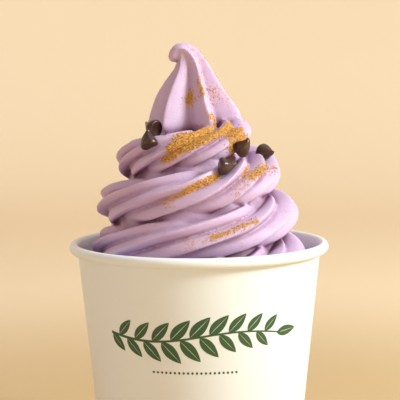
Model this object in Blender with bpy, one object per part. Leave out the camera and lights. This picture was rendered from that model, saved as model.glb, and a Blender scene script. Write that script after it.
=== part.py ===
"""A paper cup of soft-serve frozen yogurt: a piped six-ribbed swirl with chocolate chips on it.

Metres, +Z up. The origin is the middle of the circle on which the cup stands, and -Y is the front.
"""

import math

import bmesh
import bpy
import numpy as np
from mathutils import Matrix, Vector

# --- Driving dimensions -----------------------------------------------------------------------

MM = 0.001
GAP = 0.0003  # left between pieces that touch
MERGE = 1e-6  # points closer than this are one

# Cup: a cone of paper with a rolled rim, its lower edge folded up round the skirt of the base.
CUP_HEIGHT = 0.085
CUP_SEGMENTS = 48
RIM_DIAMETER = 0.096  # over the roll
ROLL_WIDTH = 0.0033
ROLL_HEIGHT = 0.0038
ROLL_POINTS = 10
ROLL_TURN = 245  # degrees of the roll that show, from its underside round to the inside
ROLL_NECK = 0.0016  # from the roll's middle down to where the wall meets it
PAPER = 0.0005
WALL_RADIUS = 0.0451  # outer face of the wall, at the height of the roll's middle
WALL_SLOPE = 0.102  # radius lost for each unit of height going down
BASE_RECESS = 0.0070  # from the table to the underside of the base
BASE_THICKNESS = 0.0007
FOLD_HEIGHT = 0.0055  # of the wall's lower edge, folded up inside

# Swirl: one ribbed rope, laid in turns that shrink as they rise. Its end is drawn up to a peak.
FILL_TOP = 0.0740  # where the yogurt stops filling the cup out to its wall
FILL_EDGE = 0.0020  # bevel round the top of that
RIBS = 6
RIB_DEPTH = 0.46  # from crest to crease, as a share of the rope's radius
PRESSED = 0.10  # share of that depth lost where one turn presses on the next
CREST_PLACE = 0.34  # of the way from the crease under a rib to the crease over it
CREST_ROUNDNESS = 1.2
SECTION_PLACES = (0.0, 0.17, CREST_PLACE, 0.67)  # points of the outline on each rib
ROPE_RADIUS = 0.0104
ROPE_SQUASH = 0.81  # height against width, as each turn sags under the next
COIL_HEIGHT = 0.0854  # of the rope's middle, after half a turn
COIL_PITCH = 0.0159
PITCH_LOSS = 0.00012  # lost with each turn squared
COIL_TILT = 0.070  # the right side lies higher
AXIS_FOOT = -0.0010  # the swirl's own axis stands to the left of the cup's
AXIS_FOOT_HEIGHT = 0.088
AXIS_LEAN = -0.035
STEP_DEGREES = 12.0
LENGTH_STEPS = 14  # steps in one length of rope, which is under half a turn
TUCKED = 0.7  # size of a length's ends, which reach into its neighbours

# Radius over the ribs in millimetres, against the degrees that the rope has travelled round the
# cup. It starts inside the fill, and 270 is the front of the lowest turn that shows.
TURN_RADII = (
    (-330, 40.5),
    (-180, 41.6),
    (0, 40.8),
    (180, 39.0),
    (360, 38.4),
    (540, 36.8),
    (720, 32.6),
    (900, 29.0),
    (1020, 25.5),
    (1180, 16.0),
)
# Share of the rope's radius that is left as the machine slows down, against the same degrees.
ROPE_TAPER = ((840, 1.0), (990, 0.82), (1180, 0.76))
# Creases that have passed the rope's outer side as it turns about itself, against the same angle.
CREASES_PASSED = (
    (-330, -15.2),
    (246, 0.0),
    (306, 1.0),
    (340, 2.0),
    (599, 8.75),
    (645, 9.75),
    (672, 10.8),
    (937, 18.0),
    (972, 19.0),
    (1004, 20.0),
    (1200, 24.0),
)

# Core: the middle that the turns of rope would leave open.
CORE_DEPTH = 0.0090  # under the ribs
CORE_DOME = 0.003
CORE_OVERLAP = 0.010
CORE_FOOT_RADIUS = 0.0350
CORE_SEGMENTS = 32
CORE_RINGS = range(60, 1081, 60)  # degrees travelled by the rope, where the core takes its radius

# Peak: millimetres to the right, millimetres up, and radius over the ribs in millimetres.
PEAK_SPINE = (
    (-1.5, 122.0, 13.0),
    (-1.5, 125.6, 16.6),
    (-1.4, 128.6, 18.9),
    (-1.7, 131.6, 17.9),
    (-2.3, 136.0, 15.6),
    (-2.3, 141.5, 12.2),
    (-2.2, 146.5, 8.9),
    (-2.6, 150.4, 6.6),
    (-3.7, 153.2, 5.1),
    (-5.3, 155.0, 4.1),
    (-6.8, 155.4, 3.4),
    (-8.0, 154.0, 3.0),
    (-8.5, 152.2, 2.6),
    (-8.3, 151.0, 1.5),
)
PEAK_CRESTS = (231, 290, 350, 48, 107, 168)  # azimuths of its ribs
PEAK_CREASE = 0.42  # depth of the creases between them, as a share of the radius
PEAK_FLANKS = ((0.0, 0.0), (0.30, 0.6), (0.58, 1.0), (0.82, 0.5))  # place and depth in each gap

# Chips: drops of chocolate with a flat foot and a nib that curls over. Radius and height in
# millimetres up the side, then where each foot is in millimetres and which way its nib points.
CHIP_SIDE = ((2.7, 0.0), (3.15, 0.5), (3.2, 1.3), (2.8, 2.7), (1.6, 4.6), (1.0, 5.6), (0.55, 6.4))
CHIP_NIB = 6.8
CHIP_CURL = 1.6  # how far the nib leans over, mostly near its end
CURL_POWER = 4
CHIP_SEGMENTS = 12
CHIPS = {
    "chip_front": ((7.4, -27.0, 114.9), (0.97, 0.22, -0.06)),
    "chip_right": ((14.4, -15.5, 119.3), (0.70, -0.42, 0.58)),
    "chip_far_right": ((22.8, -4.5, 118.4), (0.70, -0.66, -0.20)),
    "chip_left": ((-17.2, -20.6, 121.4), (-0.22, 0.38, 0.90)),
    "chip_far_left": ((-14.9, -13.2, 127.3), (-0.66, 0.72, 0.16)),
}

# --- Start from an empty scene ----------------------------------------------------------------

for thing in list(bpy.data.objects):
    bpy.data.objects.remove(thing)


# --- Helpers ----------------------------------------------------------------------------------


def finish(name, colour, roughness):
    """A plain Principled material."""
    material = bpy.data.materials.new(name)
    material.use_nodes = True
    shader = material.node_tree.nodes["Principled BSDF"]
    shader.inputs["Base Color"].default_value = (*colour, 1.0)
    shader.inputs["Roughness"].default_value = roughness
    shader.inputs["Metallic"].default_value = 0.0
    return material


def add_object(name, bm, material, sharp_degrees=40.0):
    """Put a bmesh into the scene as a closed, smooth-shaded object."""
    bmesh.ops.recalc_face_normals(bm, faces=bm.faces)
    if bm.calc_volume(signed=True) < 0:
        bmesh.ops.reverse_faces(bm, faces=bm.faces)
    mesh = bpy.data.meshes.new(name)
    bm.to_mesh(mesh)
    bm.free()
    mesh.shade_smooth()
    mesh.set_sharp_from_angle(angle=math.radians(sharp_degrees))
    mesh.materials.append(material)
    thing = bpy.data.objects.new(name, mesh)
    bpy.context.collection.objects.link(thing)
    return thing


def turned(outline, segments):
    """Spin an outline of (radius, height) points round Z. It is a ring, or ends on the axis."""
    bm = bmesh.new()
    points = [bm.verts.new((radius, 0.0, height)) for radius, height in outline]
    edges = [bm.edges.new(pair) for pair in zip(points, points[1:])]
    if outline[0][0] > 0:
        edges.append(bm.edges.new((points[-1], points[0])))
    bmesh.ops.spin(
        bm,
        geom=points + edges,
        cent=(0.0, 0.0, 0.0),
        axis=(0.0, 0.0, 1.0),
        angle=math.tau,
        steps=segments,
        use_merge=True,
    )
    bmesh.ops.remove_doubles(bm, verts=bm.verts, dist=MERGE)
    return bm


def swept(sections):
    """Extrude a disc through a row of sections, each a ring of as many points."""
    bm = bmesh.new()
    bmesh.ops.create_circle(bm, cap_ends=True, radius=1.0, segments=len(sections[0]))
    bm.faces.ensure_lookup_table()
    cap = bm.faces[0]
    for number, points in enumerate(sections):
        if number:
            made = bmesh.ops.extrude_face_region(bm, geom=[cap])["geom"]
            if number > 1:
                bmesh.ops.delete(bm, geom=[cap], context="FACES_ONLY")
            cap = next(item for item in made if isinstance(item, bmesh.types.BMFace))
        for vert, point in zip(cap.verts, points):
            vert.co = point
    return bm


def smooth_between(x, known):
    """The height at x of a smooth curve through known (x, height) points, level past its ends."""
    xs, ys = np.array(known, dtype=float).T
    slopes = np.gradient(ys, xs)
    slopes[[0, -1]] = 0.0
    x = float(np.clip(x, xs[0], xs[-1]))
    i = int(np.clip(np.searchsorted(xs, x) - 1, 0, len(xs) - 2))
    width = xs[i + 1] - xs[i]
    t = (x - xs[i]) / width
    before = (1 + 2 * t) * (1 - t) ** 2 * ys[i] + t * (1 - t) ** 2 * width * slopes[i]
    after = t * t * (3 - 2 * t) * ys[i + 1] + t * t * (t - 1) * width * slopes[i + 1]
    return float(before + after)


def largest_shell(bm):
    """Delete all but the shell with the most points, such as pockets sealed inside a body."""
    unseen = set(bm.verts)
    shells = []
    while unseen:
        front = [unseen.pop()]
        shell = set(front)
        while front:
            vert = front.pop()
            near = {edge.other_vert(vert) for edge in vert.link_edges} & unseen
            unseen -= near
            shell |= near
            front.extend(near)
        shells.append(shell)
    shells.sort(key=len)
    extra = [vert for shell in shells[:-1] for vert in shell]
    bmesh.ops.delete(bm, geom=extra, context="VERTS")


def combined(name, pieces, cutters, material):
    """One body from pieces that overlap, less the cutters, whose objects are all used up."""
    whole = pieces[0]
    for other in pieces[1:] + cutters:
        step = whole.modifiers.new(other.name, "BOOLEAN")
        step.operation = "DIFFERENCE" if other in cutters else "UNION"
        step.solver = "MANIFOLD"
        step.object = other
    evaluated = whole.evaluated_get(bpy.context.evaluated_depsgraph_get())
    bm = bmesh.new()
    bm.from_mesh(evaluated.to_mesh())
    evaluated.to_mesh_clear()
    for other in pieces + cutters:
        bpy.data.objects.remove(other)
    largest_shell(bm)
    return add_object(name, bm, material)


# --- Cup --------------------------------------------------------------------------------------


def wall_radius(height):
    """Outer radius of the paper wall at a height."""
    return WALL_RADIUS - WALL_SLOPE * (CUP_HEIGHT - ROLL_HEIGHT / 2 - height)


def wall_outline():
    """The wall in section: up the outside, round the roll, down the inside and the fold."""
    roll_radius = RIM_DIAMETER / 2 - ROLL_WIDTH / 2
    roll_height = CUP_HEIGHT - ROLL_HEIGHT / 2
    neck = roll_height - ROLL_NECK
    skirt_space = PAPER + 2 * GAP
    outline = [(wall_radius(0.0) - 2 * PAPER - skirt_space, 0.0)]
    outline.append((wall_radius(0.0), 0.0))
    outline.append((wall_radius(neck), neck))
    for i in range(ROLL_POINTS + 1):
        angle = math.radians(-90 + ROLL_TURN * i / ROLL_POINTS)
        out = roll_radius + ROLL_WIDTH / 2 * math.cos(angle)
        outline.append((out, roll_height + ROLL_HEIGHT / 2 * math.sin(angle)))
    outline.append((wall_radius(neck) - PAPER, neck))
    outline.append((wall_radius(PAPER) - PAPER, PAPER))
    outline.append((wall_radius(PAPER) - PAPER - skirt_space, PAPER))
    outline.append((wall_radius(FOLD_HEIGHT) - PAPER - skirt_space, FOLD_HEIGHT))
    outline.append((wall_radius(FOLD_HEIGHT) - 2 * PAPER - skirt_space, FOLD_HEIGHT))
    return outline


def inside_wall(height):
    """The widest that something in the cup can be at a height."""
    return wall_radius(height) - PAPER - GAP


def base_outline():
    """The base in section: a disc, with a skirt that hangs down into the wall's fold."""
    foot = PAPER + GAP
    top = BASE_RECESS + BASE_THICKNESS
    return [
        (0.0, BASE_RECESS),
        (inside_wall(BASE_RECESS) - PAPER, BASE_RECESS),
        (inside_wall(foot) - PAPER, foot),
        (inside_wall(foot), foot),
        (inside_wall(top), top),
        (0.0, top),
    ]


# --- Yogurt -----------------------------------------------------------------------------------


def fill_outline():
    """The yogurt inside the cup, in section, up to where the rope takes over."""
    floor = BASE_RECESS + BASE_THICKNESS + GAP
    return [
        (0.0, floor),
        (inside_wall(floor), floor),
        (inside_wall(FILL_TOP - FILL_EDGE), FILL_TOP - FILL_EDGE),
        (inside_wall(FILL_TOP) - FILL_EDGE, FILL_TOP),
        (0.0, FILL_TOP),
    ]


def axis_place(height):
    """How far the swirl's own axis stands to the right of the cup's."""
    return AXIS_FOOT + AXIS_LEAN * (height - AXIS_FOOT_HEIGHT)


def rope_height(travelled):
    """Height of the rope's middle where it has travelled so many degrees round the cup."""
    turns = (travelled - 180) / 360
    return COIL_HEIGHT + COIL_PITCH * turns - PITCH_LOSS * turns * turns


def rib_height(place):
    """Height of a rib's outline, 0 in a crease and 1 on the crest, at a place from 0 to 1."""
    if place < CREST_PLACE:
        climb = place / CREST_PLACE
    else:
        climb = (1 - place) / (1 - CREST_PLACE)
    return 1 - (1 - climb) ** CREST_ROUNDNESS


def rope_section(travelled):
    """The rope's outline where it has travelled so many degrees round the cup."""
    height = rope_height(travelled)
    size = ROPE_RADIUS * smooth_between(travelled, ROPE_TAPER)
    middle = smooth_between(travelled, TURN_RADII) * MM - size
    twist = smooth_between(travelled, CREASES_PASSED)
    heading = math.radians(travelled)
    outward = Vector((math.cos(heading), math.sin(heading), 0.0))
    points = []
    for rib in range(RIBS):
        for place in SECTION_PLACES:
            around = math.tau * (rib + place + twist) / RIBS
            depth = RIB_DEPTH * (1 - PRESSED * math.sin(around) ** 2)
            radius = size * (1 - depth * (1 - rib_height(place)))
            point = outward * (middle + radius * math.cos(around))
            point.z = height + ROPE_SQUASH * radius * math.sin(around) + COIL_TILT * point.x
            point.x += axis_place(point.z)
            points.append(point)
    return points


def shrunk(points, share):
    """A smaller ring within a ring of points."""
    middle = sum(points, Vector()) / len(points)
    return [middle.lerp(point, share) for point in points]


def rope_lengths():
    """The rope in lengths of under half a turn, whose smaller ends reach into each other."""
    start = TURN_RADII[0][0]
    end = TURN_RADII[-1][0]
    count = round((end - start) / STEP_DEGREES)
    rope = [rope_section(start + (end - start) * i / count) for i in range(count + 1)]
    for first in range(0, count, LENGTH_STEPS):
        last = min(first + LENGTH_STEPS, count)
        length = rope[first : last + 1]
        if first:
            length.insert(0, shrunk(rope[first - 1], TUCKED))
        if last < count:
            length.append(shrunk(rope[last + 1], TUCKED))
        yield length


def core():
    """The middle of the turns, a little behind the creases between them."""
    outline = [(0.0, FILL_TOP - CORE_OVERLAP), (CORE_FOOT_RADIUS, FILL_TOP - CORE_OVERLAP)]
    for travelled in CORE_RINGS:
        outer = smooth_between(travelled, TURN_RADII) * MM
        outline.append((outer - CORE_DEPTH, rope_height(travelled)))
    outline.append((0.0, outline[-1][1] + CORE_DOME))
    bm = turned(outline, CORE_SEGMENTS)
    for vert in bm.verts:
        vert.co.x += axis_place(vert.co.z)
    return bm


def peak():
    """The rope's drawn-up end: star-shaped sections across a spine that hooks at the tip."""
    spine = [Vector((side, 0.0, up)) * MM for side, up, _ in PEAK_SPINE]
    sections = []
    for i, middle in enumerate(spine):
        ahead = spine[min(i + 1, len(spine) - 1)] - spine[max(i - 1, 0)]
        across = Matrix.Rotation(math.atan2(ahead.x, ahead.z), 3, "Y")
        radius = PEAK_SPINE[i][2] * MM
        points = []
        for rib, crest in enumerate(PEAK_CRESTS):
            span = (PEAK_CRESTS[(rib + 1) % RIBS] - crest) % 360
            for place, depth in PEAK_FLANKS:
                azimuth = math.radians(crest + span * place)
                reach = radius * (1 - PEAK_CREASE * depth)
                point = Vector((math.cos(azimuth), math.sin(azimuth), 0.0)) * reach
                points.append(middle + across @ point)
        sections.append(points)
    return swept(sections)


# --- Chips ------------------------------------------------------------------------------------


def chip(foot, pointing, spare=0.0):
    """A drop of chocolate on its foot, nib along pointing, with some spare all round."""
    side = [(radius * MM + spare, height * MM) for radius, height in CHIP_SIDE]
    nib = (0.0, CHIP_NIB * MM + spare)
    bm = turned([(0.0, -spare), (side[0][0], -spare)] + side[1:] + [nib], CHIP_SEGMENTS)
    for vert in bm.verts:
        vert.co.x += CHIP_CURL * MM * max(0.0, vert.co.z / nib[1]) ** CURL_POWER
    turn = Vector(pointing).to_track_quat("Z", "X").to_matrix()
    bm.transform(Matrix.Translation(Vector(foot) * MM) @ turn.to_4x4())
    return bm


# --- Build ------------------------------------------------------------------------------------

cup_paper = finish("cup_paper", (0.86, 0.84, 0.80), 0.45)
base_paper = finish("base_paper", (0.84, 0.82, 0.77), 0.55)
yogurt_finish = finish("yogurt_finish", (0.62, 0.47, 0.66), 0.40)
chocolate = finish("chocolate", (0.045, 0.022, 0.014), 0.30)

add_object("cup_wall", turned(wall_outline(), CUP_SEGMENTS), cup_paper)
add_object("cup_base", turned(base_outline(), CUP_SEGMENTS), base_paper)

pieces = [add_object("fill", turned(fill_outline(), CUP_SEGMENTS), yogurt_finish)]
pieces.append(add_object("core", core(), yogurt_finish))
for number, sections in enumerate(rope_lengths()):
    pieces.append(add_object(f"length_{number}", swept(sections), yogurt_finish))
pieces.append(add_object("peak", peak(), yogurt_finish))
pockets = []
for name, (foot, pointing) in CHIPS.items():
    pockets.append(add_object(f"{name}_pocket", chip(foot, pointing, GAP), yogurt_finish))
    add_object(name, chip(foot, pointing), chocolate)
combined("yogurt", pieces, pockets, yogurt_finish)
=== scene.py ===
# %% [markdown]
# # A cup of frozen yogurt
#
# This lesson builds the looks of a paper cup heaped with soft-serve frozen yogurt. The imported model
# is loaded first. It is the frame: it says where every piece is and how large. Each visible piece is
# then modelled finely in the same place, and the plain solid that it stands for is hidden.

# %% Load the frame
import math
import random

import bmesh
import bpy
import numpy as np
from mathutils import Matrix, Vector, kdtree, noise
from mathutils.bvhtree import BVHTree


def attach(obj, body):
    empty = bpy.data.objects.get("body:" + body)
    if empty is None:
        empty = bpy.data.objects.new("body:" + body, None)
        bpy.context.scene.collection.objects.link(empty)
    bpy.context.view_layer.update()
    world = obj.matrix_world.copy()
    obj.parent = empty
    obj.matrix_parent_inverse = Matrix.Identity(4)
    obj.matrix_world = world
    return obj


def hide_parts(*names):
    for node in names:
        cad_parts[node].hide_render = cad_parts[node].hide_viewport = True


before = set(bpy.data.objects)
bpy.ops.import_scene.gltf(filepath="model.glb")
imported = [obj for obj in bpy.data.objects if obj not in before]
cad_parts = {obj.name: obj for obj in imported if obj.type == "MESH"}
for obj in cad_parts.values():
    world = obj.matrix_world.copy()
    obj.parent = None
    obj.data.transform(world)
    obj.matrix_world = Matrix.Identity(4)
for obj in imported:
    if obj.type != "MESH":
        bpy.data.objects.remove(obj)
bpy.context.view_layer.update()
print("nodes:", ", ".join(sorted(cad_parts)))

MM = 0.001
BODY = "root"

# %% [markdown]
# ## Camera, floor and light
#
# The camera stands a little over half a metre in front and looks down by six degrees, as someone
# seated at a table would. A long lens keeps the cup's sides nearly parallel. The floor is a wide pale
# dish that curves up into a wall all round, so that no horizon shows from any side.

# %% Camera
CAMERA_DISTANCE = 0.550
CAMERA_PITCH = math.radians(6.0)
CAMERA_ROLL = math.radians(0.43)
LOOKED_AT = Vector((0.00052, 0.0, 0.10015))

looking = Vector((0.0, math.cos(CAMERA_PITCH), -math.sin(CAMERA_PITCH)))
lens = bpy.data.cameras.new("camera")
lens.lens = 133.4
lens.sensor_width = 36.0
lens.clip_end = 10.0
camera = bpy.data.objects.new("camera", lens)
bpy.context.scene.collection.objects.link(camera)
turned_to = looking.to_track_quat("-Z", "Y").to_matrix() @ Matrix.Rotation(-CAMERA_ROLL, 3, "Z")
camera.matrix_world = Matrix.Translation(LOOKED_AT - CAMERA_DISTANCE * looking) @ turned_to.to_4x4()
bpy.context.scene.camera = camera
print("camera at", [round(c, 3) for c in camera.location])

# %% [markdown]
# ## Shader maths
#
# A finish is a Principled shader whose sockets are fed by a few textures. Sums on a texture's values
# are easier to read as Python than as a tangle of nodes, so a small class wraps a socket and adds the
# Math nodes when it is added to, multiplied or taken away.


# %% A socket that does sums
class Socket:
    """One output of a node. Sums written with it become Math nodes."""

    def __init__(self, finish, output):
        self.finish = finish
        self.output = output

    def maths(self, operation, first, second):
        return self.finish.node("ShaderNodeMath", {"operation": operation}, {0: first, 1: second})

    def __add__(self, other):
        return self.maths("ADD", self, other)

    __radd__ = __add__

    def __mul__(self, other):
        return self.maths("MULTIPLY", self, other)

    __rmul__ = __mul__

    def __sub__(self, other):
        return self.maths("SUBTRACT", self, other)

    def __rsub__(self, other):
        return self.maths("SUBTRACT", other, self)


# %% A finish
class Finish:
    """A material with a Principled shader, and short ways to add nodes to it."""

    def __init__(self, name):
        self.material = bpy.data.materials.new(name)
        self.material.use_nodes = True
        self.tree = self.material.node_tree
        self.shader = self.tree.nodes["Principled BSDF"]

    def feed(self, socket, value):
        if isinstance(value, Socket):
            self.tree.links.new(value.output, socket)
        else:
            socket.default_value = value

    def node(self, kind, settings=None, values=None, out=0):
        """Add a node: its settings first, then the values or links of its sockets."""
        made = self.tree.nodes.new(kind)
        for key, value in (settings or {}).items():
            setattr(made, key, value)
        for key, value in (values or {}).items():
            self.feed(made.inputs[key], value)
        return Socket(self, made.outputs[out])

    def place(self):
        return self.node("ShaderNodeTexCoord", out="Object")

    def cloud(self, scale, detail=2.0, roughness=0.5):
        """Soft noise around 0.5, with this many blotches to the metre."""
        values = {"Vector": self.place(), "Scale": scale, "Detail": detail, "Roughness": roughness}
        return self.node("ShaderNodeTexNoise", None, values)

    def between(self, value, low, high):
        """0 where the value is at low, 1 where it is at high, smooth in between."""
        settings = {"interpolation_type": "SMOOTHSTEP"}
        return self.node("ShaderNodeMapRange", settings, {0: value, 1: low, 2: high, 3: 0.0, 4: 1.0})

    def mix(self, share, first, second):
        """A colour part of the way from the first to the second."""
        settings = {"data_type": "RGBA", "clamp_factor": True}
        ends = [(*end, 1.0) if isinstance(end, tuple) else end for end in (first, second)]
        return self.node("ShaderNodeMix", settings, {0: share, 6: ends[0], 7: ends[1]}, out=2)

    def bump(self, height, depth, strength=1.0):
        """A normal from a height of 0 to 1, this many metres deep."""
        values = {"Height": height, "Distance": depth, "Strength": strength}
        return self.node("ShaderNodeBump", None, values)

    def shade(self, **values):
        for key, value in values.items():
            self.feed(self.shader.inputs[key.replace("_", " ")], value)


print("shader maths ready")

# %% [markdown]
# ## Small modelling helpers
#
# Two shapes make nearly everything here. A turned piece is an outline spun round the Z axis, as on a
# lathe. A swept piece is a disc that is extruded through a row of rings. Both start from a bmesh
# operator, and both are closed.


# %% Put a bmesh into the scene
def piece_from(name, bm, finish, smooth_degrees=180.0, rides=True):
    """Make a closed, outward-facing object of a bmesh. It stays at the origin, unturned."""
    bmesh.ops.recalc_face_normals(bm, faces=bm.faces)
    if bm.calc_volume(signed=True) < 0:
        bmesh.ops.reverse_faces(bm, faces=bm.faces)
    mesh = bpy.data.meshes.new(name)
    bm.to_mesh(mesh)
    bm.free()
    mesh.shade_smooth()
    if smooth_degrees < 180.0:
        mesh.set_sharp_from_angle(angle=math.radians(smooth_degrees))
    piece = bpy.data.objects.new(name, mesh)
    bpy.context.scene.collection.objects.link(piece)
    if finish:
        mesh.materials.append(finish.material)
    if rides:
        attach(piece, BODY)
    print(f"{name}: {len(mesh.polygons)} faces")
    return piece


# %% Turn an outline
def turned(outline, segments, angle=math.tau, start=0.0):
    """Spin an outline of (radius, height) points round Z, from the start azimuth."""
    bm = bmesh.new()
    verts = [bm.verts.new((radius, 0.0, height)) for radius, height in outline]
    edges = [bm.edges.new(pair) for pair in zip(verts, verts[1:])]
    whole = angle == math.tau
    if outline[0][0] > 0:
        edges.append(bm.edges.new((verts[-1], verts[0])))
    bmesh.ops.rotate(bm, verts=verts, cent=(0, 0, 0), matrix=Matrix.Rotation(start, 3, "Z"))
    bmesh.ops.spin(
        bm,
        geom=verts + edges,
        cent=(0.0, 0.0, 0.0),
        axis=(0.0, 0.0, 1.0),
        angle=angle,
        steps=segments,
        use_merge=whole,
    )
    bmesh.ops.remove_doubles(bm, verts=bm.verts, dist=1e-6)
    if not whole:
        bmesh.ops.holes_fill(bm, edges=[edge for edge in bm.edges if edge.is_boundary], sides=0)
    return bm


# %% Sweep a disc through rings
def swept(rings):
    """Extrude a disc through a row of rings, each with as many points."""
    bm = bmesh.new()
    bmesh.ops.create_circle(bm, cap_ends=True, radius=1.0, segments=len(rings[0]))
    bm.faces.ensure_lookup_table()
    cap = bm.faces[0]
    for number, points in enumerate(rings):
        if number:
            made = bmesh.ops.extrude_face_region(bm, geom=[cap])["geom"]
            if number > 1:
                bmesh.ops.delete(bm, geom=[cap], context="FACES_ONLY")
            cap = next(item for item in made if isinstance(item, bmesh.types.BMFace))
        for vert, point in zip(cap.verts, points):
            vert.co = point
    return bm


# %% A smooth curve through a few known points
def smooth_between(x, known):
    """The height at x of a smooth curve through known (x, height) points, level past its ends."""
    xs, ys = np.array(known, dtype=float).T
    slopes = np.gradient(ys, xs)
    slopes[[0, -1]] = 0.0
    x = float(np.clip(x, xs[0], xs[-1]))
    i = int(np.clip(np.searchsorted(xs, x) - 1, 0, len(xs) - 2))
    width = xs[i + 1] - xs[i]
    t = (x - xs[i]) / width
    before = (1 + 2 * t) * (1 - t) ** 2 * ys[i] + t * (1 - t) ** 2 * width * slopes[i]
    after = t * t * (3 - 2 * t) * ys[i + 1] + t * t * (t - 1) * width * slopes[i + 1]
    return float(before + after)


print("modelling helpers ready")

# %% [markdown]
# ## Floor and light
#
# The dish is turned from an outline: a flat floor, a quarter of a circle and a straight wall. It is
# tan near the cup, paler further out, and a little duller at the front left, so that it sends less
# light back into the shadows there. A cool-white lamp stands to the right, where a window would be.
# A wide weak lamp above keeps the top from going dull, and a small one opens the shadows at the left.

# %% Floor dish
FLOOR_RADIUS = 0.9
CURVE_RADIUS = 0.5
WALL_TOP = 1.5
CURVE_STEPS = 12
# Metres from the middle at which one shade of the floor starts to turn into the next, and is done.
TAN_TO_PALE = (0.12, 0.45)
PALE_TO_WALL = (0.7, 1.25)
WALL_DULLED = (0.5, 0.9)
DULL_HEADING = (-0.83, -0.56, 0.0)
FLOOR_GLOW = 0.13

cream = Finish("floor_cream")
middle_share = cream.node("ShaderNodeVectorMath", {"operation": "LENGTH"}, {0: cream.place()}, out=1)
pale = cream.mix(cream.cloud(3.0), (0.91, 0.78, 0.595), (0.93, 0.80, 0.615))
heading = cream.node("ShaderNodeVectorMath", {"operation": "NORMALIZE"}, {0: cream.place()})
shaded_side = cream.node(
    "ShaderNodeVectorMath", {"operation": "DOT_PRODUCT"}, {0: heading, 1: DULL_HEADING}, out=1
)
wall_share = cream.between(middle_share, *WALL_DULLED) * cream.between(shaded_side, -0.1, 0.9)
dull = cream.mix(wall_share, pale, (0.52, 0.46, 0.39))
pale_share = cream.between(middle_share, *TAN_TO_PALE)
near_floor = cream.mix(pale_share, (0.50, 0.34, 0.17), (0.78, 0.62, 0.43))
cream.shade(
    Base_Color=cream.mix(cream.between(middle_share, *PALE_TO_WALL), near_floor, dull),
    Roughness=0.9,
)
cream.shade(Emission_Color=(0.904, 0.686, 0.434, 1.0), Emission_Strength=FLOOR_GLOW)
floor_outline = [(0.0, 0.0), (0.2, 0.0), (0.5, 0.0), (FLOOR_RADIUS, 0.0)]
for step in range(1, CURVE_STEPS + 1):
    angle = math.radians(90.0 * step / CURVE_STEPS)
    out = FLOOR_RADIUS + CURVE_RADIUS * math.sin(angle)
    floor_outline.append((out, CURVE_RADIUS * (1 - math.cos(angle))))
floor_outline.append((FLOOR_RADIUS + CURVE_RADIUS, WALL_TOP))
floor_bm = turned(floor_outline, 96)
floor = piece_from("floor", floor_bm, cream, rides=False)
floor.data.flip_normals()


# %% Lamps
def lamp(name, place, size, power, colour):
    """A square soft lamp that points at the middle of the object and isn't seen itself."""
    light = bpy.data.lights.new(name, "AREA")
    light.energy = power
    light.size = size
    light.color = colour
    holder = bpy.data.objects.new(name, light)
    holder.visible_camera = False
    bpy.context.scene.collection.objects.link(holder)
    aim = (Vector((0.0, 0.0, 0.1)) - Vector(place)).to_track_quat("-Z", "Y").to_matrix().to_4x4()
    holder.matrix_world = Matrix.Translation(place) @ aim


lamp("key_lamp", (0.74, -0.30, 0.56), 0.30, 10.2, (0.87, 1.0, 0.975))
lamp("back_wash", (0.5, 0.2, 1.4), 1.2, 3.6, (1.0, 0.99, 0.98))
lamp("side_fill", (-0.75, -0.60, 0.10), 0.4, 0.9, (0.86, 0.94, 1.0))

world = bpy.data.worlds.new("room")
bpy.context.scene.world = world
world.use_nodes = True
world.node_tree.nodes["Background"].inputs["Color"].default_value = (0.96, 0.94, 1.0, 1.0)
world.node_tree.nodes["Background"].inputs["Strength"].default_value = 0.43
bpy.context.scene.view_settings.view_transform = "Standard"

# %% [markdown]
# ## The paper cup
#
# A paper cup is a cone of coated board, lapped and glued down one side. Its top edge is rolled
# outwards into a bead, and its lower edge is folded up inside, round the skirt of a recessed disc.
# Turning one outline gives the wall, the roll and the fold in a single closed piece. The lap is a
# thin strip of its own, so that its edge stays crisp.

# %% Cup sizes
GAP = 0.3 * MM
CUP_HEIGHT = 85.0 * MM
RIM_DIAMETER = 96.0 * MM
ROLL_WIDTH = 3.3 * MM
ROLL_HEIGHT = 3.8 * MM
ROLL_TURN = 245.0
ROLL_NECK = 1.6 * MM
PAPER = 0.5 * MM
WALL_RADIUS = 45.1 * MM
WALL_SLOPE = 0.102
BASE_RECESS = 7.0 * MM
BASE_THICKNESS = 0.7 * MM
FOLD_HEIGHT = 5.5 * MM
CUP_SEGMENTS = 160
ROLL_MIDDLE = CUP_HEIGHT - ROLL_HEIGHT / 2


def wall_radius(height):
    """Outer radius of the paper wall at a height."""
    return WALL_RADIUS - WALL_SLOPE * (ROLL_MIDDLE - height)


print("cup wall radius at the table and the rim, mm:", wall_radius(0) / MM, WALL_RADIUS / MM)


# %% [markdown]
# ## Coated paper
#
# The board is white but never quite even: its fibres show as faint clouds, its clay coating has a
# soft sheen, and raking light finds a very fine tooth. Colour, roughness and bump each take a little.


# %% Paper finish
def paper(name, bright, shade, roughness):
    """Coated board with faint fibre clouds and a fine tooth."""
    made = Finish(name)
    fibres = made.cloud(900.0, 6.0, 0.65)
    clouds = made.cloud(60.0, 3.0)
    made.shade(
        Base_Color=made.mix(clouds * 0.6 + fibres * 0.4, shade, bright),
        Roughness=roughness + (fibres - 0.5) * 0.22,
        Normal=made.bump(fibres, 0.03 * MM, 0.5),
    )
    made.shade(Specular_IOR_Level=0.42, Coat_Weight=0.06, Coat_Roughness=0.35)
    return made


cup_paper = paper("cup_paper", (0.89, 0.925, 0.97), (0.84, 0.87, 0.90), 0.42)
base_paper = paper("base_paper", (0.84, 0.825, 0.79), (0.78, 0.76, 0.72), 0.55)


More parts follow.
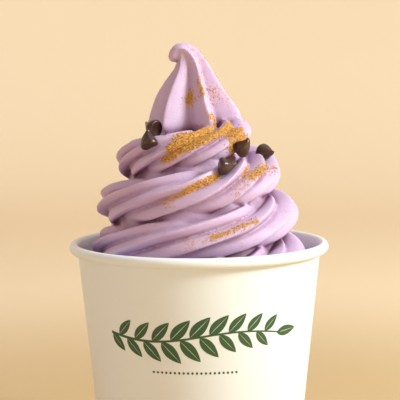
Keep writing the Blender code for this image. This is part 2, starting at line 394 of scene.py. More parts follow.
# %% Wall, roll and fold
def roll_points(lift, count):
    """The rolled rim, from its underside out, over the top and in, raised by lift."""
    points = []
    for step in range(count + 1):
        angle = math.radians(-90 + ROLL_TURN * step / count)
        out = RIM_DIAMETER / 2 - ROLL_WIDTH / 2 + (ROLL_WIDTH / 2 + lift) * math.cos(angle)
        points.append((out, ROLL_MIDDLE + (ROLL_HEIGHT / 2 + lift) * math.sin(angle)))
    return points


SEAL_HEIGHT = 8.2 * MM
SEAL_DEPTH = 0.22 * MM
SEAL_HALF = 0.9 * MM
skirt_space = PAPER + 2 * GAP
neck = ROLL_MIDDLE - ROLL_NECK
wall_outline = [
    (wall_radius(0.0) - 2 * PAPER - skirt_space, 0.0),
    (wall_radius(0.0), 0.0),
    (wall_radius(SEAL_HEIGHT - SEAL_HALF), SEAL_HEIGHT - SEAL_HALF),
    (wall_radius(SEAL_HEIGHT) - SEAL_DEPTH, SEAL_HEIGHT),
    (wall_radius(SEAL_HEIGHT + SEAL_HALF), SEAL_HEIGHT + SEAL_HALF),
    (wall_radius(neck), neck),
    *roll_points(0.0, 26),
    (wall_radius(neck) - PAPER, neck),
    (wall_radius(PAPER) - PAPER, PAPER),
    (wall_radius(PAPER) - PAPER - skirt_space, PAPER),
    (wall_radius(FOLD_HEIGHT) - PAPER - skirt_space, FOLD_HEIGHT),
    (wall_radius(FOLD_HEIGHT) - 2 * PAPER - skirt_space, FOLD_HEIGHT),
]
cup_wall = piece_from("paper_wall", turned(wall_outline, CUP_SEGMENTS), cup_paper, 35.0)
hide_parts("cup_wall")

# %% Lapped side seam
SEAM_AZIMUTH = math.radians(112.0)
SEAM_ANGLE = math.radians(9.0)
SEAM_LIFT = 0.28 * MM
SEAM_OVERLAP = 0.15 * MM
lap_outline = [
    (wall_radius(0.4 * MM) - SEAM_OVERLAP, 0.4 * MM),
    (wall_radius(0.4 * MM) + SEAM_LIFT, 0.4 * MM),
    (wall_radius(neck) + SEAM_LIFT, neck),
    (wall_radius(neck) - SEAM_OVERLAP, neck),
]
lap_bm = turned(lap_outline, 8, SEAM_ANGLE, SEAM_AZIMUTH)
lap = piece_from("side_seam", lap_bm, cup_paper, 35.0)

# %% Recessed base
foot = PAPER + GAP
base_top = BASE_RECESS + BASE_THICKNESS


def inside_wall(height):
    """The widest that something in the cup can be at a height."""
    return wall_radius(height) - PAPER - GAP


base_outline = [
    (0.0, BASE_RECESS),
    (inside_wall(BASE_RECESS) - PAPER, BASE_RECESS),
    (inside_wall(foot) - PAPER, foot),
    (inside_wall(foot), foot),
    (inside_wall(base_top), base_top),
    (0.0, base_top),
]
cup_base = piece_from("paper_base", turned(base_outline, CUP_SEGMENTS), base_paper, 35.0)
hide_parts("cup_base")

# %% [markdown]
# ## The printed sprig
#
# The front of the cup carries a broad print in dark green: a leafy branch, with a row of small seeds
# under it. Ink lies on top of the paper, so each leaf is a thin grid that is drawn flat, bent round
# the cone and given a hair of thickness. Drawing it flat first lets its sizes be measured along the
# paper, as a printer would.

# %% Bend a flat drawing round the cup
PRINT_LIFT = 0.05 * MM
PRINT_THICKNESS = 0.06 * MM
SPRIG_HEIGHT = 56.5 * MM
SPRIG_SHIFT = -1.8 * MM


def wrap_on_cup(bm):
    """Bend a drawing of (distance round the front, height) round the cup."""
    for vert in bm.verts:
        along, height = vert.co.x + SPRIG_SHIFT, vert.co.y
        radius = wall_radius(height) + PRINT_LIFT
        azimuth = math.radians(-90.0) + along / wall_radius(SPRIG_HEIGHT)
        vert.co = (radius * math.cos(azimuth), radius * math.sin(azimuth), height)


# %% Draw the sprig
SPRIG_HALF = 33.0 * MM
SPRIG_WAVE = 1.7 * MM
LEAF_PAIRS = 9
LEAF_LENGTH = 10.6 * MM
LEAF_WIDTH = 4.5 * MM
LEAF_LEAN = 46.0
LEAF_STAGGER = 1.7 * MM
LEAF_RISE = 0.3 * MM
END_LEAF_WIDTH = 3.6 * MM
MIDRIB = 0.045
STEM_WIDTH = 0.9 * MM
SEEDS = 20
SEED_HEIGHT = 43.8 * MM
FIRST_SEED = -15.2 * MM
SEED_SPACING = 1.6 * MM
SEED_RADIUS = 0.42 * MM


def stem_height(along):
    return SPRIG_HEIGHT + SPRIG_WAVE * math.sin(math.tau * 0.5 * along / SPRIG_HALF)


def draw_leaf(bm, along, height, lean, length, width):
    """Half a leaf on each side of a fine midrib that is left bare."""
    place = Matrix.Translation((along, height, 0.0)) @ Matrix.Rotation(math.radians(lean), 4, "Z")
    for side in (-1.0, 1.0):
        made = bmesh.ops.create_grid(bm, x_segments=10, y_segments=3, size=0.5)["verts"]
        for vert in made:
            along_leaf = vert.co.x + 0.5
            across = vert.co.y + 0.5
            full = math.sin(math.pi * along_leaf**0.8) ** 0.85
            reach = MIDRIB + (1 - MIDRIB) * across
            vert.co = (along_leaf * length, side * reach * full * width / 2, 0.0)
        bmesh.ops.transform(bm, matrix=place, verts=made)


def draw_stem(bm):
    made = bmesh.ops.create_grid(bm, x_segments=60, y_segments=1, size=0.5)["verts"]
    for vert in made:
        along = vert.co.x * 2 * SPRIG_HALF
        half = STEM_WIDTH * (0.75 - 0.5 * vert.co.x) / 2
        vert.co = (along, stem_height(along) + 2 * vert.co.y * half, 0.0)


def draw_dot(bm, along, height, radius):
    made = bmesh.ops.create_circle(bm, cap_ends=True, radius=radius, segments=14)["verts"]
    bmesh.ops.translate(bm, verts=made, vec=(along, height, 0.0))


sprig_bm = bmesh.new()
draw_stem(sprig_bm)
for pair in range(LEAF_PAIRS):
    share = pair / (LEAF_PAIRS - 1)
    size = 1.0 - 0.28 * abs(2 * share - 0.9)
    along = SPRIG_HALF * (-0.93 + 1.66 * share)
    for side in (-1, 1):
        start = along + side * LEAF_STAGGER
        draw_leaf(
            sprig_bm,
            start,
            stem_height(start) + side * LEAF_RISE,
            side * LEAF_LEAN,
            LEAF_LENGTH * size,
            LEAF_WIDTH * size,
        )
end_leaf_start = SPRIG_HALF * 0.95
draw_leaf(sprig_bm, end_leaf_start, stem_height(SPRIG_HALF), 4.0, 0.9 * LEAF_LENGTH, END_LEAF_WIDTH)
for number in range(SEEDS):
    draw_dot(sprig_bm, FIRST_SEED + SEED_SPACING * number, SEED_HEIGHT, SEED_RADIUS)
wrap_on_cup(sprig_bm)
bmesh.ops.solidify(sprig_bm, geom=sprig_bm.faces[:], thickness=-PRINT_THICKNESS)

# %% Ink finish
leaf_ink = Finish("leaf_ink")
ink_cloud = leaf_ink.cloud(700.0, 4.0)
leaf_ink.shade(
    Base_Color=leaf_ink.mix(ink_cloud, (0.030, 0.088, 0.032), (0.047, 0.120, 0.045)),
    Roughness=0.42 + (ink_cloud - 0.5) * 0.2,
    Normal=leaf_ink.bump(ink_cloud, 0.02 * MM, 0.4),
)
sprig = piece_from("leaf_print", sprig_bm, leaf_ink, 35.0)

# %% [markdown]
# ## The swirl
#
# Soft-serve leaves the machine through a star-shaped nozzle as one ribbed rope. The rope is laid in
# turns that shrink as they rise, and it turns slowly about itself, so its creases wander over the
# front of each turn. The swirl is modelled the same way: six-ribbed rings along a rising spiral,
# swept in lengths, with the drawn-up peak on top. A voxel remesh then melts everything into one skin.

# %% Swirl sizes
FILL_TOP = 74.0 * MM
FILL_EDGE = 2.0 * MM
RIBS = 6
RIB_DEPTH = 0.46
PRESSED = 0.10
CREST_PLACE = 0.34
CREST_ROUNDNESS = 1.2
ROPE_RADIUS = 10.4 * MM
ROPE_SQUASH = 0.81
COIL_HEIGHT = 85.4 * MM
COIL_PITCH = 15.9 * MM
PITCH_LOSS = 0.12 * MM
COIL_TILT = 0.070
AXIS_FOOT = -1.0 * MM
AXIS_FOOT_HEIGHT = 88.0 * MM
AXIS_LEAN = -0.035
STEP_DEGREES = 3.0
LENGTH_STEPS = 55
TUCKED = 0.7
RISING_POINTS = 8
FALLING_POINTS = 12

# Radius over the ribs in millimetres, against the degrees travelled round the cup.
TURN_RADII = (
    (-330, 40.5),
    (-180, 41.6),
    (0, 40.8),
    (180, 39.0),
    (360, 38.4),
    (540, 36.8),
    (720, 32.6),
    (900, 29.0),
    (1020, 25.5),
    (1180, 16.0),
)
# Share of the rope's radius that is left as the machine slows down, against the same degrees.
ROPE_TAPER = ((840, 1.0), (990, 0.82), (1180, 0.76))
# Creases that have passed the rope's outer side as it turns about itself.
CREASES_PASSED = (
    (-330, -15.2),
    (246, 0.0),
    (306, 1.0),
    (340, 2.0),
    (599, 8.75),
    (645, 9.75),
    (672, 10.8),
    (937, 18.0),
    (972, 19.0),
    (1004, 20.0),
    (1200, 24.0),
)
section_places = [CREST_PLACE * step / RISING_POINTS for step in range(RISING_POINTS)]
for step in range(FALLING_POINTS):
    section_places.append(CREST_PLACE + (1 - CREST_PLACE) * step / FALLING_POINTS)
print("points round the rope:", RIBS * len(section_places))


# %% Rings of the rope
def axis_place(height):
    """How far the swirl's own axis stands to the right of the cup's."""
    return AXIS_FOOT + AXIS_LEAN * (height - AXIS_FOOT_HEIGHT)


def rope_height(travelled):
    turns = (travelled - 180) / 360
    return COIL_HEIGHT + COIL_PITCH * turns - PITCH_LOSS * turns * turns


def rib_height(place):
    """Height of a rib's outline, 0 in a crease and 1 on the crest, at a place from 0 to 1."""
    if place < CREST_PLACE:
        climb = place / CREST_PLACE
    else:
        climb = (1 - place) / (1 - CREST_PLACE)
    return 1 - (1 - climb) ** CREST_ROUNDNESS


def rope_ring(travelled):
    """The rope's outline where it has travelled so many degrees round the cup."""
    height = rope_height(travelled)
    size = ROPE_RADIUS * smooth_between(travelled, ROPE_TAPER)
    middle = smooth_between(travelled, TURN_RADII) * MM - size
    twist = smooth_between(travelled, CREASES_PASSED)
    heading = math.radians(travelled)
    outward = Vector((math.cos(heading), math.sin(heading), 0.0))
    points = []
    for rib in range(RIBS):
        for place in section_places:
            around = math.tau * (rib + place + twist) / RIBS
            depth = RIB_DEPTH * (1 - PRESSED * math.sin(around) ** 2)
            radius = size * (1 - depth * (1 - rib_height(place)))
            point = outward * (middle + radius * math.cos(around))
            point.z = height + ROPE_SQUASH * radius * math.sin(around) + COIL_TILT * point.x
            point.x += axis_place(point.z)
            points.append(point)
    return points


def shrunk(points, share):
    """A smaller ring within a ring of points."""
    middle = sum(points, Vector()) / len(points)
    return [middle.lerp(point, share) for point in points]


# %% Lay the rope
parts = []
first_degrees = TURN_RADII[0][0]
last_degrees = TURN_RADII[-1][0]
ring_count = round((last_degrees - first_degrees) / STEP_DEGREES)
rope = [rope_ring(first_degrees + STEP_DEGREES * i) for i in range(ring_count + 1)]
for first in range(0, ring_count, LENGTH_STEPS):
    last = min(first + LENGTH_STEPS, ring_count)
    length = rope[first : last + 1]
    if first:
        length.insert(0, shrunk(rope[first - 1], TUCKED))
    if last < ring_count:
        length.append(shrunk(rope[last + 1], TUCKED))
    parts.append(piece_from(f"length_{first}", swept(length), None, rides=False))

# %% Fill and core
CORE_DEPTH = 9.0 * MM
CORE_DOME = 3.0 * MM
CORE_FOOT_RADIUS = 35.0 * MM
CORE_FOOT = FILL_TOP - 10.0 * MM
CORE_RINGS = range(60, 1081, 60)

fill_floor = base_top + GAP
fill_outline = [
    (0.0, fill_floor),
    (inside_wall(fill_floor), fill_floor),
    (inside_wall(FILL_TOP - FILL_EDGE), FILL_TOP - FILL_EDGE),
    (inside_wall(FILL_TOP) - FILL_EDGE, FILL_TOP),
    (0.0, FILL_TOP),
]
parts.append(piece_from("fill", turned(fill_outline, CUP_SEGMENTS), None, rides=False))
core_outline = [(0.0, CORE_FOOT), (CORE_FOOT_RADIUS, CORE_FOOT)]
for travelled in CORE_RINGS:
    core_out = smooth_between(travelled, TURN_RADII) * MM - CORE_DEPTH
    core_outline.append((core_out, rope_height(travelled)))
core_outline.append((0.0, core_outline[-1][1] + CORE_DOME))
core_bm = turned(core_outline, 96)
for vert in core_bm.verts:
    vert.co.x += axis_place(vert.co.z)
parts.append(piece_from("core", core_bm, None, rides=False))

# %% [markdown]
# ## The peak
#
# When the cup is pulled away, the rope's end is drawn up into a point that bends over under its own
# weight. Its ribs run nearly straight up. Star-shaped rings across a hooked spine give that, and a
# subdivision surface rounds them.

# %% Draw up the peak
# Millimetres to the right, millimetres up, and radius over the ribs in millimetres.
PEAK_SPINE = (
    (-1.5, 122.0, 13.0),
    (-1.5, 125.6, 16.6),
    (-1.4, 128.6, 18.9),
    (-1.7, 131.6, 17.9),
    (-2.3, 136.0, 15.6),
    (-2.3, 141.5, 12.2),
    (-2.2, 146.5, 8.9),
    (-2.6, 150.4, 6.6),
    (-3.7, 153.2, 5.1),
    (-5.3, 155.0, 4.1),
    (-6.8, 155.4, 3.4),
    (-8.0, 154.0, 3.0),
    (-8.5, 152.2, 2.6),
    (-8.3, 151.0, 1.5),
)
PEAK_CRESTS = (231, 290, 350, 48, 107, 168)
PEAK_CREASE = 0.50
PEAK_FLANKS = (
    (0.0, 0.0),
    (0.07, 0.16),
    (0.30, 0.60),
    (0.50, 0.94),
    (0.58, 1.0),
    (0.66, 0.94),
    (0.82, 0.50),
    (0.94, 0.14),
)

# The creases fade out towards the tip, where the peak is thinner than this.
FULL_CREASE_RADIUS = 7.0

spine = [Vector((side, 0.0, up)) * MM for side, up, _ in PEAK_SPINE]
peak_rings = []
for i, middle in enumerate(spine):
    ahead = spine[min(i + 1, len(spine) - 1)] - spine[max(i - 1, 0)]
    across = Matrix.Rotation(math.atan2(ahead.x, ahead.z), 3, "Y")
    ring = []
    crease = PEAK_CREASE * min(1.0, PEAK_SPINE[i][2] / FULL_CREASE_RADIUS) ** 1.5
    for rib, crest in enumerate(PEAK_CRESTS):
        span = (PEAK_CRESTS[(rib + 1) % RIBS] - crest) % 360
        for place, depth in PEAK_FLANKS:
            azimuth = math.radians(crest + span * place)
            reach = PEAK_SPINE[i][2] * MM * (1 - crease * depth)
            ring.append(middle + across @ Vector((math.cos(azimuth), math.sin(azimuth), 0)) * reach)
    peak_rings.append(ring)
peak = piece_from("peak", swept(peak_rings), None, rides=False)
rounding = peak.modifiers.new("rounding", "SUBSURF")
rounding.levels = 1
rounding.render_levels = 1
parts.append(peak)

# %% [markdown]
# ## One skin
#
# The lengths, the core, the fill and the peak overlap. A voxel remesh finds the outside of all of
# them and gives it even faces. Smoothing takes away the stair steps, and a decimation then spends
# fewer faces on the flat stretches than on the creases.

# %% Melt the parts together
VOXEL = 0.42 * MM
SWIRL_FACES = 150000


def evaluated_bmesh(piece):
    """A bmesh of an object with its modifiers applied."""
    evaluated = piece.evaluated_get(bpy.context.evaluated_depsgraph_get())
    bm = bmesh.new()
    bm.from_mesh(evaluated.to_mesh())
    evaluated.to_mesh_clear()
    return bm


joined = bmesh.new()
for part in parts:
    part_bm = evaluated_bmesh(part)
    part_mesh = bpy.data.meshes.new("part")
    part_bm.to_mesh(part_mesh)
    part_bm.free()
    joined.from_mesh(part_mesh)
    bpy.data.meshes.remove(part_mesh)
for part in parts:
    bpy.data.objects.remove(part)
raw_mesh = bpy.data.meshes.new("raw_swirl")
joined.to_mesh(raw_mesh)
joined.free()
raw = bpy.data.objects.new("raw_swirl", raw_mesh)
bpy.context.scene.collection.objects.link(raw)
melt = raw.modifiers.new("melt", "REMESH")
melt.mode = "VOXEL"
melt.voxel_size = VOXEL
soften = raw.modifiers.new("soften", "SMOOTH")
soften.factor = 0.5
soften.iterations = 1
skin = evaluated_bmesh(raw)
bpy.data.objects.remove(raw)
print("faces after the remesh:", len(skin.faces))

# %% Keep the outer skin, with fewer faces on its flat stretches
skin_mesh = bpy.data.meshes.new("skin")
skin.to_mesh(skin_mesh)
skin_faces = 2 * len(skin.faces)
skin.free()
skin_piece = bpy.data.objects.new("skin", skin_mesh)
bpy.context.scene.collection.objects.link(skin_piece)
thin = skin_piece.modifiers.new("thin", "DECIMATE")
thin.ratio = min(1.0, SWIRL_FACES / skin_faces)
swirl_bm = evaluated_bmesh(skin_piece)
bpy.data.objects.remove(skin_piece)
print("faces of the swirl:", len(swirl_bm.faces))


# %% [markdown]
# ## Uneven, as food is
#
# A nozzle never lays a perfect rope. Two noises push the skin in and out by a fraction of a
# millimetre: a slow one for sag, and a finer one for the pull of the nozzle.

# %% Push the skin in and out
SAG_DEPTH = 0.28 * MM
SAG_SCALE = 90.0
PULL_DEPTH = 0.07 * MM
PULL_SCALE = 420.0
INSIDE_CUP = FILL_TOP + 2.0 * MM

swirl_bm.normal_update()
shifts = []
for vert in swirl_bm.verts:
    if vert.co.z > INSIDE_CUP:
        push = SAG_DEPTH * noise.noise(vert.co * SAG_SCALE)
        push += PULL_DEPTH * noise.noise(vert.co * PULL_SCALE)
        shifts.append((vert, vert.normal * push))
for vert, shift in shifts:
    vert.co += shift
print("points moved:", len(shifts))

# %% [markdown]
# ## Chocolate chips
#
# A chip is a drop of chocolate that set on a flat belt: a round foot with a soft edge, a belly and a
# nib that curls over where the nozzle was pulled off. A coarse turned outline, bent near its nib and
# rounded by a subdivision surface, gives it. Each one is then dented a little by noise.

# %% Chip sizes
# Radius and height in millimetres up the side.
CHIP_SIDE = (
    (2.2, 0.0),
    (2.85, 0.08),
    (3.2, 0.55),
    (3.22, 1.2),
    (2.95, 2.3),
    (2.3, 3.6),
    (1.55, 4.7),
    (1.0, 5.6),
    (0.62, 6.3),
)
CHIP_NIB = 6.8
CHIP_CURL = 1.6
CURL_POWER = 4
NIB_DROOP = 0.5 * MM
CHIP_DENT = 0.25 * MM
DENT_SCALE = 330.0
# Where each foot is in millimetres, and which way its nib points.
CHIPS = {
    "chip_front": ((7.4, -27.0, 114.9), (0.97, 0.22, -0.06)),
    "chip_right": ((14.4, -15.5, 119.3), (0.70, -0.42, 0.58)),
    "chip_far_right": ((22.8, -4.5, 118.4), (0.70, -0.66, -0.20)),
    "chip_left": ((-17.2, -20.6, 121.4), (-0.22, 0.38, 0.90)),
    "chip_far_left": ((-14.9, -13.2, 127.3), (-0.66, 0.72, 0.16)),
}

# %% Chocolate finish
chocolate = Finish("dark_chocolate")
bloom = chocolate.cloud(380.0, 4.0, 0.6)
grain = chocolate.cloud(2200.0, 2.0)
chocolate.shade(
    Base_Color=chocolate.mix(
        chocolate.between(bloom, 0.35, 0.75), (0.034, 0.0105, 0.0055), (0.085, 0.032, 0.017)
    ),
    Roughness=0.20 + bloom * 0.22,
    Normal=chocolate.bump(grain * 0.4 + bloom, 0.12 * MM, 0.5),
)
chocolate.shade(Specular_IOR_Level=0.5, Coat_Weight=0.12, Coat_Roughness=0.2)


# %% Shape the chips
def chip(name, foot, pointing, seed):
    side = [(radius * MM, height * MM) for radius, height in CHIP_SIDE]
    bm = turned([(0.0, 0.0)] + side + [(0.0, CHIP_NIB * MM)], 16)
    for vert in bm.verts:
        rise = max(0.0, vert.co.z / (CHIP_NIB * MM))
        vert.co.x += CHIP_CURL * MM * rise**CURL_POWER
        vert.co.z -= NIB_DROOP * rise ** (2 * CURL_POWER)
    bmesh.ops.subdivide_edges(bm, edges=bm.edges[:], cuts=1, use_grid_fill=True, smooth=0.0)
    for vert in bm.verts:
        dent = noise.noise_vector(vert.co * DENT_SCALE + Vector((seed * 7.3, 0.0, 0.0)))
        vert.co += dent * CHIP_DENT
    turn = Vector(pointing).to_track_quat("Z", "X").to_matrix()
    bm.transform(Matrix.Translation(Vector(foot) * MM) @ turn.to_4x4())
    made = piece_from(f"chocolate_{name}", bm, chocolate)
    rounding = made.modifiers.new("rounding", "SUBSURF")
    rounding.levels = 2
    rounding.render_levels = 2
    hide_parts(name)
    return made


chips = [chip(name, *place, seed) for seed, (name, place) in enumerate(CHIPS.items())]

# %% [markdown]
# ## Crumbs
#
# Golden biscuit crumbs were sprinkled over the swirl. They lie in drifts along the tops of the turns
# and cling here and there to the steep faces, with darker toasted specks among them. Each drift is a
# line over the surface. Crumbs are aimed at points near it from outside, and each stays where it
# first touches. Where many land, the skin itself is raised a little and coloured, as packed crumbs
# would be, and loose grains lie on top.

# %% Where the drifts lie
# Points along the drift in millimetres, its spread, how many grains, and how thickly they pack.
DRIFTS = {
    "crease": (((-8, -18.6, 125), (-3, -21, 124.8), (3, -21.2, 125.2), (8, -16, 127)), 0.9, 560, 0.9),
    "drift": (
        ((-9.9, -24.9, 120.6), (-4.3, -24.3, 123.3), (1.4, -21, 125.2), (5, -17.1, 126.4)),
        1.25,
        1500,
        1.0,
    ),
    "drift_edge": (((-12.4, -22.2, 116.5), (-6.1, -23.6, 120.5), (3.2, -23.7, 124.3)), 0.7, 600, 0.8),
    "right_arc": (
        ((9, -15.6, 128.4), (11.5, -14.5, 127), (14.3, -17.2, 125.2), (16.6, -11.9, 122.7)),
        1.6,
        1150,
        0.9,
    ),
    "right_inner": (
        ((10, -17.8, 126), (11, -19.7, 123.3), (11.8, -16.8, 119.9), (13.6, -13.2, 117)),
        0.8,
        260,
        0.5,
    ),
    "shoulder": (
        ((17.9, -25.2, 110.8), (20.5, -23, 112.4), (23.4, -12, 112.9), (26.4, -10.5, 113.5)),
        1.1,
        600,
        0.8,
    ),
    "strip": (
        ((15.1, -23.8, 111.1), (16, -27.7, 108.6), (14.6, -29.6, 106), (12.8, -30.2, 104.3)),
        1.5,
        150,
        0.3,
    ),
    "middle_left": (((-12.5, -32.4, 102.8), (-7.8, -32.9, 105.1), (-4, -32.6, 106.8)), 0.8, 150, 0.6),
    "middle": (((-5, -32.8, 106.4), (1.3, -30.1, 109.3), (7.6, -28.7, 111.6)), 0.6, 520, 0.9),
    "low_left": (((-7.2, -37.1, 87), (-0.3, -37.4, 89.4), (3.2, -36.9, 90.7)), 1.3, 110, 0.3),
    "low": (
        ((3.2, -36.9, 90.7), (6.7, -36.7, 91.4), (13.7, -34.3, 93.8), (20.9, -29.7, 96.4)),
        0.7,
        330,
        0.6,
    ),
    "low_right": (((22.5, -23.8, 84.6), (27.1, -24.3, 92.5), (32.5, -11.5, 98.9)), 1.8, 90, 0.1),
    "peak_groove": (((-3.9, -8.7, 138.3), (-2.5, -9.3, 136.8), (-2, -8.2, 141)), 0.9, 220, 0.5),
    "peak_crest": (((0.1, -8.4, 145.8), (1.5, -11.4, 141.2), (2.2, -12.6, 138.7)), 0.6, 140, 0.4),
    "peak_right": (((5.2, -3.2, 143.1), (5.9, -3.7, 140.9), (7.7, -4.7, 135.9)), 0.8, 110, 0.3),
    "peak_foot": (((4, -16.5, 132.1), (6.5, -11.9, 130.8), (9.4, -13.3, 129)), 0.9, 160, 0.5),
    "peak_dust": (
        ((-4.5, -2.2, 156.3), (3.5, -2, 149.7), (10.3, -3.3, 138.7), (13.9, -4, 133.6)),
        2.4,
        260,
        0.1,
    ),
    "back_high": (((16, 8, 127), (6, 17, 124), (-6, 16, 124)), 1.2, 500, 0.8),
    "back_middle": (((26, 18, 108), (12, 29, 107), (-4, 32, 107)), 0.9, 420, 0.7),
    "back_low": (((-30, 20, 92), (-18, 31, 92), (-2, 37, 92)), 1.1, 220, 0.5),
    "left_side": (((-33, 2, 104), (-31, 12, 105)), 1.2, 110, 0.4),
}
DUST_COUNT = 1700

# %% Throw crumbs at the swirl
THROW = 25.0 * MM
FALL = 0.12


def seen_from(point):
    """Which way is out from the swirl at a point, tilted up as a falling crumb comes."""
    out = Vector((point.x - axis_place(point.z), point.y, 0.0)).normalized()
    out.z = FALL
    return out.normalized()


def throw(tree, target):
    """Where a crumb aimed at a target from outside first touches: its place and the normal."""
    out = seen_from(target)
    place, normal, _, _ = tree.ray_cast(target + out * THROW, -out)
    return (place, normal) if place else None


def along_drift(points, share):
    """A point part of the way along a line of points."""
    corners = [Vector(point) * MM for point in points]
    lengths = [(b - a).length for a, b in zip(corners, corners[1:])]
    left = share * sum(lengths)
    for a, b, length in zip(corners, corners[1:], lengths):
        if left <= length:
            return a.lerp(b, left / length)
        left -= length
    return corners[-1]


def drift_targets(points, spread, count, chance):
    """Aiming points near a drift, closest together along its middle."""
    for _ in range(count):
        middle = along_drift(points, chance.random())
        offset = Vector((chance.gauss(0, 1), chance.gauss(0, 1), chance.gauss(0, 1)))
        yield middle + offset * spread * MM


tree = BVHTree.FromBMesh(swirl_bm)
chance = random.Random(41)
landed = []
for points, spread, count, packing in DRIFTS.values():
    for target in drift_targets(points, spread, count, chance):
        hit = throw(tree, target)
        if hit:
            landed.append((hit[0], packing))
print("crumbs aimed for the bed:", len(landed))

# %% Raise and mark the skin under the drifts
DUST_REACH = 2.6 * MM
DUST_FULL = 16.0
DUST_EVERY = 3
BED_REACH = 0.9 * MM
BED_FULL = 6.5
BED_HEIGHT = 0.45 * MM
BED_LUMPS = 900.0

swirl_bm.verts.ensure_lookup_table()
near = kdtree.KDTree(len(swirl_bm.verts))
for index, vert in enumerate(swirl_bm.verts):
    near.insert(vert.co, index)
near.balance()
bed = np.zeros(len(swirl_bm.verts))
dusted = np.zeros(len(swirl_bm.verts))
for place, _ in landed[::DUST_EVERY]:
    for _, index, distance in near.find_range(place, DUST_REACH):
        dusted[index] += (1 - distance / DUST_REACH) ** 2
dusted = np.clip(dusted / DUST_FULL, 0.0, 1.0)
for place, packing in landed:
    for _, index, distance in near.find_range(place, BED_REACH):
        bed[index] += packing * (1 - distance / BED_REACH)
bed = np.clip(bed / BED_FULL, 0.0, 1.0)
swirl_bm.normal_update()
for index in np.nonzero(bed > 0.01)[0]:
    vert = swirl_bm.verts[int(index)]
    lumps = 0.7 + 0.6 * noise.noise(vert.co * BED_LUMPS)
    vert.co += vert.normal * BED_HEIGHT * float(bed[index]) * lumps
print("skin points under crumbs:", int((bed > 0.01).sum()))

# %% [markdown]
# ## Painted shade in the hollows
#
# Where two turns press together, the yogurt's colour is darkened: painted shade for the shadow that
# falls in the creases. Short feelers are sent out from each point of the skin. The more of them meet
# the skin again, and the sooner, the more closed in the point is. The shares are smoothed along the
# edges and kept as an attribute, which the finish reads as painted shade.

# %% Feel how closed in each point of the skin is
FEELERS = 14
FEELER_REACH = 8.0 * MM
FEELER_START = 0.3 * MM
GOLDEN_ANGLE = math.radians(137.5)
SMOOTHING_PASSES = 4

feelers = []
for number in range(FEELERS):
    spread = math.sqrt((number + 0.5) / FEELERS)
    turn = number * GOLDEN_ANGLE
    rise = math.sqrt(1 - spread * spread)
    feelers.append(Vector((spread * math.cos(turn), spread * math.sin(turn), rise)))
swirl_bm.normal_update()
tree = BVHTree.FromBMesh(swirl_bm)
occlusion_for_painted_shade = np.zeros(len(swirl_bm.verts))
for index, vert in enumerate(swirl_bm.verts):
    turned_out = vert.normal.to_track_quat("Z", "Y")
    start = vert.co + vert.normal * FEELER_START
    for feeler in feelers:
        distance = tree.ray_cast(start, turned_out @ feeler, FEELER_REACH)[3]
        if distance is not None:
            occlusion_for_painted_shade[index] += (1 - distance / FEELER_REACH) / FEELERS
first_ends, second_ends = np.array([[v.index for v in edge.verts] for edge in swirl_bm.edges]).T
ends = np.concatenate([first_ends, second_ends])
neighbours = np.bincount(ends, minlength=len(occlusion_for_painted_shade))
for _ in range(SMOOTHING_PASSES):
    from_second = np.bincount(first_ends, occlusion_for_painted_shade[second_ends], len(occlusion_for_painted_shade))
    from_first = np.bincount(second_ends, occlusion_for_painted_shade[first_ends], len(occlusion_for_painted_shade))
    occlusion_for_painted_shade = (occlusion_for_painted_shade + (from_second + from_first) / neighbours) / 2
print("closed-in points:", int((occlusion_for_painted_shade > 0.3).sum()), "deepest:", round(float(occlusion_for_painted_shade.max()), 2))

# %% [markdown]
# ## Yogurt finish
#
# Frozen yogurt is pale mauve, a little translucent and softly glossy. Light goes a few millimetres
# in and comes out pinker, which subsurface scattering does. The colour drifts slightly and is darkened
# in the hollows as painted shade, fine ice grain breaks up the highlights, and the bed of crumbs and its
# powder are mixed in by the attributes marked above.

# %% Mix the yogurt
yogurt = Finish("yogurt")
drift = yogurt.cloud(45.0, 3.0)
ice = yogurt.cloud(1300.0, 5.0, 0.65)
bed_share = yogurt.node("ShaderNodeAttribute", {"attribute_name": "bed"}, out="Fac")
crumb_noise = yogurt.cloud(1700.0, 3.0, 0.7)
packed = yogurt.between(bed_share + (crumb_noise - 0.5) * 0.9, 0.22, 0.55)
dust_share = yogurt.node("ShaderNodeAttribute", {"attribute_name": "dust"}, out="Fac")
# Painted shade: the more closed in the skin is, the more the flesh turns dark mauve, for the shadow
# between turns.
painted_shade_share = yogurt.node("ShaderNodeAttribute", {"attribute_name": "occlusion_for_painted_shade"}, out="Fac")
open_flesh = yogurt.mix(drift, (0.60, 0.425, 0.64), (0.66, 0.48, 0.70))
flesh_with_painted_shade = yogurt.mix(yogurt.between(painted_shade_share, 0.10, 0.50), open_flesh, (0.28, 0.13, 0.23))
powder = dust_share * yogurt.between(crumb_noise, 0.25, 0.75) * 0.62
flesh = yogurt.mix(powder, flesh_with_painted_shade, (0.80, 0.46, 0.25))
golden = yogurt.mix(yogurt.between(crumb_noise, 0.35, 0.65), (0.36, 0.15, 0.035), (0.78, 0.45, 0.14))
yogurt.shade(
    Base_Color=yogurt.mix(packed, flesh, golden),
    Roughness=0.52 + (ice - 0.5) * 0.25 + packed * 0.3,
    Normal=yogurt.bump(ice + packed * crumb_noise * 3.0, 0.11 * MM, 0.75),
)
yogurt.shade(Subsurface_Weight=0.12, Subsurface_Scale=1.2 * MM, Subsurface_Radius=(1.0, 0.62, 0.72))
yogurt.shade(Specular_IOR_Level=0.35, Coat_Weight=0.06, Coat_Roughness=0.3)

# %% Finish the swirl
swirl = piece_from("yogurt_swirl", swirl_bm, yogurt)
marked = swirl.data.attributes.new("bed", "FLOAT", "POINT")
marked.data.foreach_set("value", bed)
powdered = swirl.data.attributes.new("dust", "FLOAT", "POINT")
powdered.data.foreach_set("value", dusted)
# The closed-in shares are kept on the skin for the painted shade in the hollows.
hollows = swirl.data.attributes.new("occlusion_for_painted_shade", "FLOAT", "POINT")
hollows.data.foreach_set("value", occlusion_for_painted_shade)
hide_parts("yogurt")


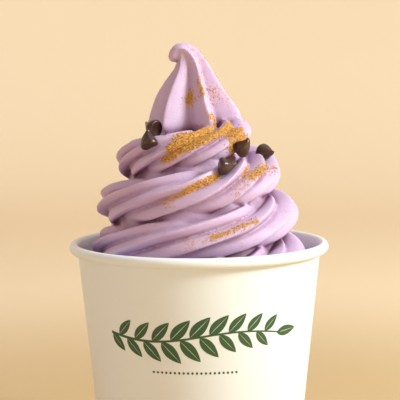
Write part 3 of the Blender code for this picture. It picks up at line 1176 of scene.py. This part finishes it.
# %% Make grains
def grain_shapes(faces_level, count, flat, chance):
    """A few lumpy grains, about one across, as arrays of points and triangles."""
    shapes = []
    for _ in range(count):
        bm = bmesh.new()
        bmesh.ops.create_icosphere(bm, subdivisions=faces_level, radius=0.5)
        for vert in bm.verts:
            vert.co *= 1 + chance.uniform(-0.28, 0.28)
            vert.co.z *= flat
        points = np.array([vert.co[:] for vert in bm.verts])
        corners = np.array([[vert.index for vert in face.verts] for face in bm.faces])
        bm.free()
        shapes.append((points, corners))
    return shapes


def scattered(name, shapes, places, finish):
    """Join a grain at each place, a (point, normal, size) each, into one piece."""
    chance = random.Random(name)
    all_points = []
    all_corners = []
    total = 0
    for point, normal, size in places:
        points, corners = chance.choice(shapes)
        turn = normal.to_track_quat("Z", "Y").to_matrix() @ Matrix.Rotation(chance.random() * 6.3, 3, "Z")
        tip = Matrix.Rotation(chance.uniform(-0.7, 0.7), 3, "X")
        placed = points @ np.array(turn @ tip).T * size + np.array(point)
        all_points.append(placed)
        all_corners.append(corners + total)
        total += len(points)
    mesh = bpy.data.meshes.new(name)
    mesh.from_pydata(np.concatenate(all_points), [], np.concatenate(all_corners))
    mesh.materials.append(finish.material)
    piece = bpy.data.objects.new(name, mesh)
    bpy.context.scene.collection.objects.link(piece)
    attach(piece, BODY)
    print(f"{name}: {len(places)} grains, {len(mesh.polygons)} faces")
    return piece


# %% Crumb finishes
def crumb_finish(name, dark, light):
    made = Finish(name)
    tone = made.cloud(1300.0, 3.0, 0.7)
    made.shade(
        Base_Color=made.mix(made.between(tone, 0.3, 0.7), dark, light),
        Roughness=0.75,
        Normal=made.bump(tone, 0.1 * MM, 0.6),
    )
    made.shade(Subsurface_Weight=0.1, Subsurface_Scale=0.5 * MM)
    return made


golden_crumb = crumb_finish("golden_crumb", (0.50, 0.20, 0.035), (0.90, 0.52, 0.14))
dark_crumb = crumb_finish("dark_crumb", (0.07, 0.03, 0.014), (0.22, 0.095, 0.035))

# %% Scatter the loose grains
DARK_SHARE = 0.09
DARK_SIZE = 0.8
STEEP = -0.15
SUNK = 0.18
SCATTER = 1.15
DUST_SIZES = (0.16, 0.36)
DUST_LOWEST = 86.0
DUST_RISE = 70.0
DUST_OUT = 30.0 * MM

chance = random.Random(7)
golden_places = []
dark_places = []


def settle(target, smallest, largest):
    """Let one grain land and sink in a little. It slides off faces that hang over."""
    hit = throw(tree, target)
    if not hit or hit[1].z < STEEP:
        return
    size = chance.uniform(smallest, largest) * MM
    place = hit[0] + hit[1] * size * SUNK
    if chance.random() < DARK_SHARE:
        dark_places.append((place, hit[1], size * DARK_SIZE))
    else:
        golden_places.append((place, hit[1], size))


# Grains are coarser where they pack thickly.
for points, spread, count, packing in DRIFTS.values():
    for target in drift_targets(points, spread * SCATTER, count, chance):
        settle(target, 0.15 + 0.09 * packing, 0.34 + 0.26 * packing)
for _ in range(DUST_COUNT):
    azimuth = chance.uniform(0, math.tau)
    height = (DUST_LOWEST + DUST_RISE * chance.random() ** 1.3) * MM
    out = Vector((math.cos(azimuth), math.sin(azimuth), 0.0)) * DUST_OUT
    target = Vector((axis_place(height), 0.0, height)) + out * max(0.05, 1 - (height - 0.086) / 0.072)
    settle(target, *DUST_SIZES)
grain_chance = random.Random(3)
grains = grain_shapes(1, 12, 0.75, grain_chance)
for name, places, finish in (
    ("golden_crumbs", golden_places, golden_crumb),
    ("dark_crumbs", dark_places, dark_crumb),
):
    scattered(name, grains, places, finish)
